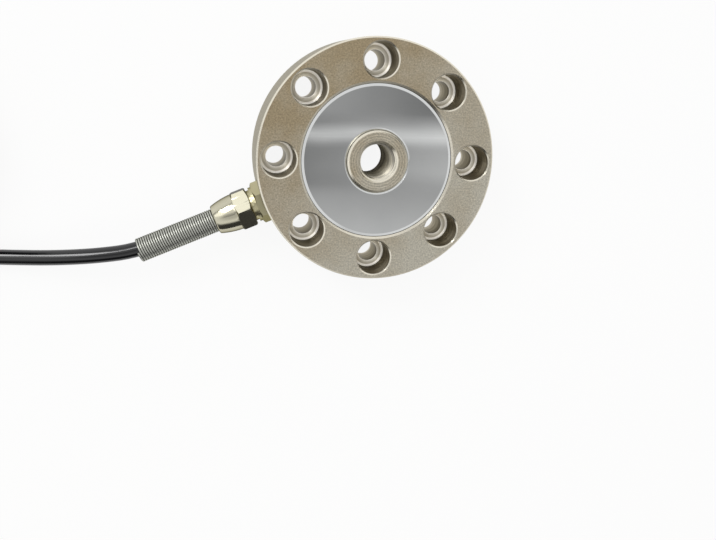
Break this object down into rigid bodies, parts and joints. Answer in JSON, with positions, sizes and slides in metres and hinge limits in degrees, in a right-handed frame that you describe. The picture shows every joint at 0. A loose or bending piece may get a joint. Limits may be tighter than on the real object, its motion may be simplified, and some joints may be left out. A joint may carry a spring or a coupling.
{
  "type": "pancake load cell",
  "caption": "Low-profile round load cell: bolted outer ring, threaded loading hub, polished sealing covers, and a side cable gland with a strain-relief spring and coiled signal cable.",
  "frame": {"origin": "centre of the outer ring at its rear face, on the loading axis", "axes": "+Z along the loading axis, from the rear face to the front face with the counterbores; the cable gland leaves at 202.5 degrees from +X"},
  "size_m": [0.24, 0.0813, 0.0235],
  "materials": {
    "nickel_plated_steel": "fine blasted, nickel plated",
    "polished_steel": "mirror polished",
    "gauge_foil": "polyimide foil",
    "circuit_board": "solder-masked laminate",
    "chip_resistor": "ceramic chip",
    "seal_rubber": "moulded nitrile",
    "nickel_plated_brass": "bright nickel plated",
    "spring_steel": "bright drawn wire",
    "cable_jacket": "extruded PVC",
    "tie_plastic": "moulded nylon",
    "core_red": "extruded PVC",
    "core_black": "extruded PVC",
    "core_green": "extruded PVC",
    "core_white": "extruded PVC",
    "tinned_copper": "tinned strand"
  },
  "bodies": {
    "root": {"sensing_body": "nickel_plated_steel", "front_cover": "polished_steel", "rear_cover": "polished_steel", "strain_gauges": "gauge_foil", "terminal_board": "circuit_board", "trim_resistors": "chip_resistor", "inner_cores": "core_white", "port_seal": "seal_rubber", "gland_adapter": "nickel_plated_brass", "gland_seal": "seal_rubber", "thrust_washer": "nickel_plated_brass", "gland_nut": "nickel_plated_brass", "strain_relief_spring": "spring_steel", "cable_entry": "cable_jacket", "cable": "cable_jacket", "cable_coil": "cable_jacket", "coil_tie": "tie_plastic", "core_red": "core_red", "core_black": "core_black", "core_green": "core_green", "core_white": "core_white", "core_tips": "tinned_copper", "shield_drain": "tinned_copper"}
  },
  "joints": []
}
